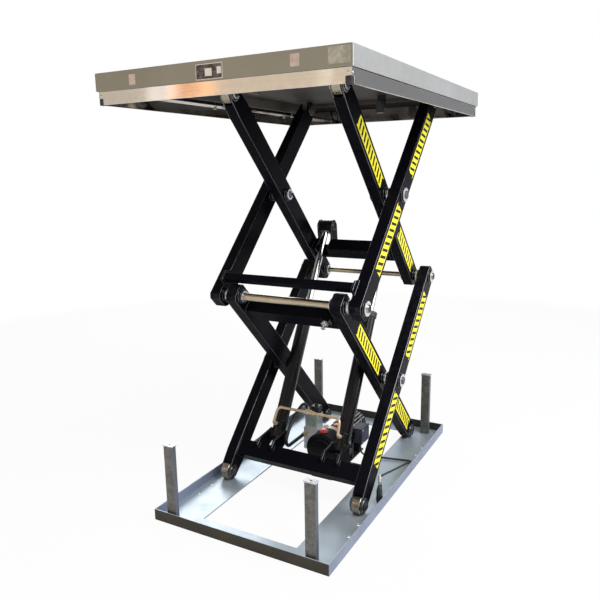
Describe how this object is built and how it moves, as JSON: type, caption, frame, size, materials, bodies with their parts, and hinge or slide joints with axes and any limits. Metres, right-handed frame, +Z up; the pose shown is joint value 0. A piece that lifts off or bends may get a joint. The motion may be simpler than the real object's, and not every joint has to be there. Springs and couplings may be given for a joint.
{
  "type": "scissor lift table",
  "caption": "Stationary double scissor lift table with a rectangular platform, black scissor arms, twin hydraulic cylinders and a tray base with corner posts.",
  "frame": {"origin": "on the floor, in the middle of the platform's plan", "axes": "+Z up, +X along the platform towards the hinged end, +Y across the platform"},
  "size_m": [1.3, 0.9, 1.554],
  "materials": {
    "galvanised_sheet": "bright galvanised sheet with faint spangle",
    "post_steel": "silver-grey satin paint",
    "cap_steel": "bright plated",
    "lug_steel": "black satin paint",
    "pin_steel": "turned steel",
    "clip_steel": "black phosphated spring steel",
    "bracket_paint": "black satin paint",
    "tank_paint": "black satin paint",
    "cap_red": "moulded red plastic",
    "cast_alloy": "machined casting",
    "valve_alloy": "machined block",
    "coil_plastic": "moulded black plastic",
    "motor_alloy": "ribbed casting",
    "cover_paint": "dark grey paint",
    "terminal_plastic": "blue-grey moulded plastic",
    "zinc_steel": "bright zinc plate",
    "hose_rubber": "black hydraulic hose",
    "yellow_zinc": "yellow passivated zinc",
    "cable_rubber": "black sheathed cable",
    "connector_plastic": "moulded black plastic",
    "fan_plastic": "moulded white plastic",
    "knob_red": "moulded red plastic",
    "arm_paint": "gloss black powder coat",
    "bush_bronze": "bronze",
    "polished_steel": "ground and polished bar",
    "roller_steel": "turned steel",
    "deck_paint": "light grey satin paint",
    "underside_paint": "dark satin paint",
    "switch_plastic": "black plastic",
    "bar_aluminium": "brushed extrusion",
    "corner_plastic": "moulded black plastic",
    "barrel_paint": "gloss black paint",
    "gland_paint": "black paint",
    "rod_chrome": "hard chrome"
  },
  "bodies": {
    "base": {"base_frame": "galvanised_sheet", "support_posts": "post_steel", "post_caps": "cap_steel", "base_hinge_lugs": "lug_steel", "base_hinge_pins": "pin_steel", "base_pin_clips": "clip_steel", "power_unit_bracket": "bracket_paint", "oil_tank": "tank_paint", "tank_filler_cap": "cap_red", "pump_manifold": "cast_alloy", "valve_block": "valve_alloy", "solenoid_coil": "coil_plastic", "motor_body": "motor_alloy", "motor_fan_cover": "cover_paint", "terminal_box": "terminal_plastic", "power_unit_bolts": "zinc_steel", "supply_hose": "hose_rubber", "hose_fittings": "yellow_zinc", "power_cable": "cable_rubber", "cable_connector": "connector_plastic"},
    "motor_rotor": {"motor_fan": "fan_plastic"},
    "lowering_knob": {"lowering_knob": "knob_red"},
    "lower_inner": {"lower_inner_frame": "arm_paint", "lower_inner_bushes": "bush_bronze", "lower_centre_pins": "pin_steel", "mid_front_shaft": "polished_steel", "lower_pin_washers": "zinc_steel", "lower_pin_clips": "zinc_steel", "travel_stop_bolt": "zinc_steel"},
    "lower_outer": {"lower_outer_frame": "arm_paint", "lower_outer_bushes": "bush_bronze", "lower_roller_axles": "pin_steel", "lower_axle_clips": "clip_steel", "cylinder_foot_pins": "pin_steel"},
    "lower_rollers": {"lower_rollers": "roller_steel", "lower_roller_bushes": "bush_bronze"},
    "upper_inner": {"upper_inner_frame": "arm_paint", "upper_centre_pins": "pin_steel", "mid_back_shaft": "polished_steel", "upper_pin_washers": "zinc_steel", "upper_pin_clips": "zinc_steel", "upper_roller_axles": "pin_steel"},
    "upper_rollers": {"upper_rollers": "roller_steel", "upper_roller_bushes": "bush_bronze"},
    "upper_outer": {"upper_outer_frame": "arm_paint", "upper_outer_bushes": "bush_bronze"},
    "platform": {"platform_deck": "deck_paint", "roller_guides": "underside_paint", "platform_hinge_lugs": "underside_paint", "platform_hinge_pins": "pin_steel", "platform_pin_clips": "clip_steel", "safety_switches": "switch_plastic", "safety_bar_hangers": "zinc_steel"},
    "safety_bar": {"safety_bar": "bar_aluminium", "safety_bar_corners": "corner_plastic"},
    "cylinder_barrels": {"cylinder_barrels": "barrel_paint", "cylinder_glands": "gland_paint", "hydraulic_pipe": "yellow_zinc"},
    "cylinder_rods": {"cylinder_rods": "rod_chrome", "cylinder_rod_pins": "pin_steel"}
  },
  "joints": [
    {"name": "lift", "type": "hinge", "parent": "base", "child": "lower_inner", "pos_m": [0.482, 0, 0.04], "axis": [0, 1, 0], "range_deg": [-39.37, 0]},
    {"name": "lower_scissor", "type": "hinge", "parent": "lower_inner", "child": "lower_outer", "pos_m": [0.12152, 0, 0.4085], "axis": [0, 1, 0], "range_deg": [0, 78.74]},
    {"name": "mid_pivot", "type": "hinge", "parent": "lower_outer", "child": "upper_inner", "pos_m": [0.482, 0, 0.777], "axis": [0, 1, 0], "range_deg": [-78.74, 0]},
    {"name": "upper_scissor", "type": "hinge", "parent": "upper_inner", "child": "upper_outer", "pos_m": [0.12152, 0, 1.1455], "axis": [0, 1, 0], "range_deg": [0, 78.74]},
    {"name": "platform_pivot", "type": "hinge", "parent": "upper_outer", "child": "platform", "pos_m": [0.482, 0, 1.514], "axis": [0, 1, 0], "range_deg": [-39.38, 0]},
    {"name": "lower_roller_spin", "type": "hinge", "parent": "lower_outer", "child": "lower_rollers", "pos_m": [-0.23897, 0, 0.04], "axis": [0, 1, 0], "range_deg": [-536.84, 0]},
    {"name": "upper_roller_spin", "type": "hinge", "parent": "upper_inner", "child": "upper_rollers", "pos_m": [-0.23897, 0, 1.514], "axis": [0, 1, 0], "range_deg": [0, 536.84]},
    {"name": "cylinder_foot_pivot", "type": "hinge", "parent": "lower_outer", "child": "cylinder_barrels", "pos_m": [-0.08402, 0, 0.16121], "axis": [0, 1, 0], "range_deg": [0, 1.15]},
    {"name": "cylinder_stroke", "type": "slide", "parent": "cylinder_barrels", "child": "cylinder_rods", "axis": [0.492, 0, 0.8706], "range_m": [-0.30079, 0]},
    {"name": "safety_bar_lift", "type": "slide", "parent": "platform", "child": "safety_bar", "axis": [0, 0, 1], "range_m": [0, 0.01]},
    {"name": "lowering_knob_press", "type": "slide", "parent": "base", "child": "lowering_knob", "axis": [0, 0, -1], "range_m": [0, 0.004]},
    {"name": "motor_spin", "type": "hinge", "parent": "base", "child": "motor_rotor", "pos_m": [0.2, -0.044, 0.12], "axis": [1, 0, 0], "continuous": true}
  ],
  "couplings": [
    {"joint": "lower_scissor", "follows": "lift", "ratio": -2},
    {"joint": "mid_pivot", "follows": "lift", "ratio": 2},
    {"joint": "upper_scissor", "follows": "lift", "ratio": -2},
    {"joint": "platform_pivot", "follows": "lift", "ratio": 1},
    {"joint": "lower_roller_spin", "follows": "lift", "ratio": 13.637},
    {"joint": "upper_roller_spin", "follows": "lift", "ratio": -13.637},
    {"joint": "cylinder_foot_pivot", "follows": "lift", "ratio": -0.02888},
    {"joint": "cylinder_stroke", "follows": "lift", "m_per_rad": 0.43765}
  ]
}
